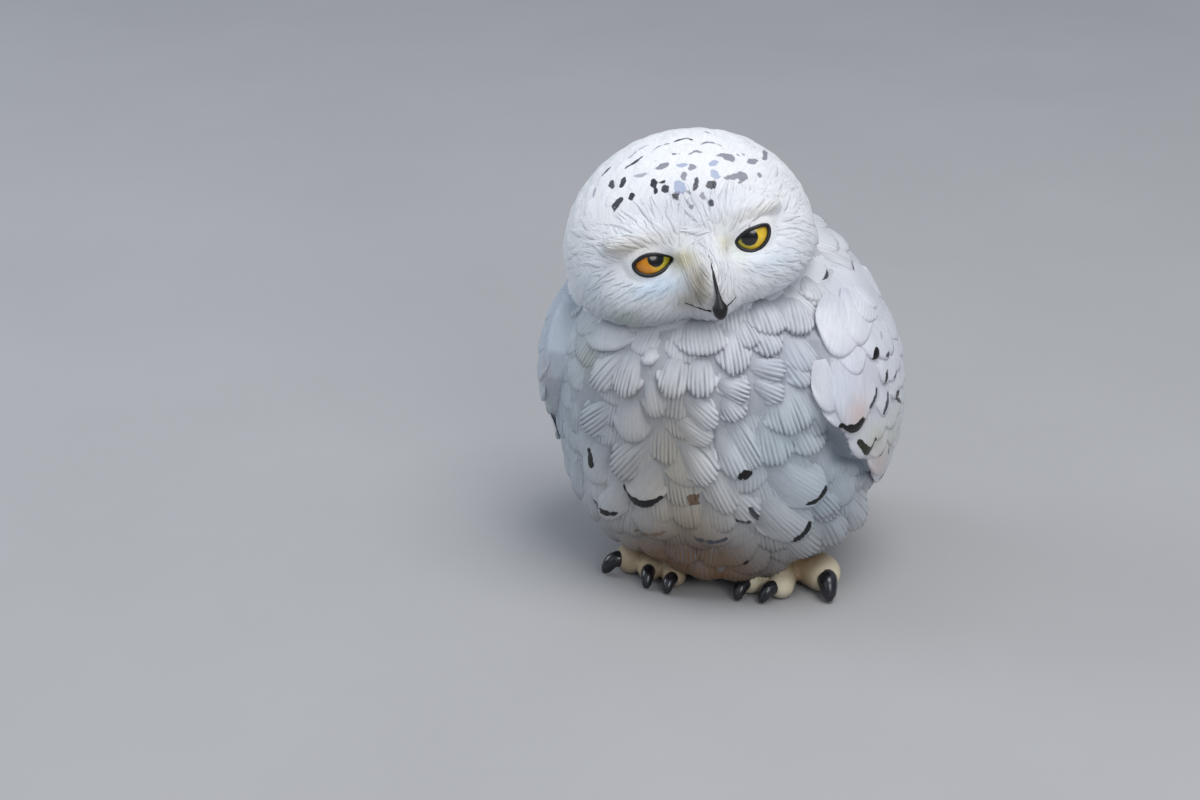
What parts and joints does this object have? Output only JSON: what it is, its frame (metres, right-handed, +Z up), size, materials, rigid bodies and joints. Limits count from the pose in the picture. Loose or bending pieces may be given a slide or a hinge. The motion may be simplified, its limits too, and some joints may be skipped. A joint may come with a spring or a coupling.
{
  "type": "snowy owl figurine",
  "caption": "Small hand-painted figure of a plump snowy owl standing on its own feet, head turned and tipped, wings folded; a shelf or desk ornament.",
  "frame": {"origin": "middle of the bounding box, at the level of the soles", "axes": "+Z up, the body faces -Y, the owl's left side is +X"},
  "size_m": [0.0562, 0.0602, 0.0697],
  "materials": {
    "white_paint": "hand-painted cool white, satin, over sculpted feathers",
    "wing_paint": "hand-painted white, smooth satin, black flecks",
    "cream_paint": "hand-painted cream, satin",
    "amber_eye": "painted amber iris and black pupil under clear gloss",
    "black_gloss": "black gloss enamel"
  },
  "bodies": {
    "root": {"head": "white_paint", "trunk": "white_paint", "wing_left": "wing_paint", "wing_right": "wing_paint", "tail": "wing_paint", "foot_left": "cream_paint", "foot_right": "cream_paint", "eye_left": "amber_eye", "eye_right": "amber_eye", "bill": "black_gloss", "claw_left_1": "black_gloss", "claw_left_2": "black_gloss", "claw_left_3": "black_gloss", "claw_left_4": "black_gloss", "claw_right_1": "black_gloss", "claw_right_2": "black_gloss", "claw_right_3": "black_gloss", "claw_right_4": "black_gloss"}
  },
  "joints": []
}
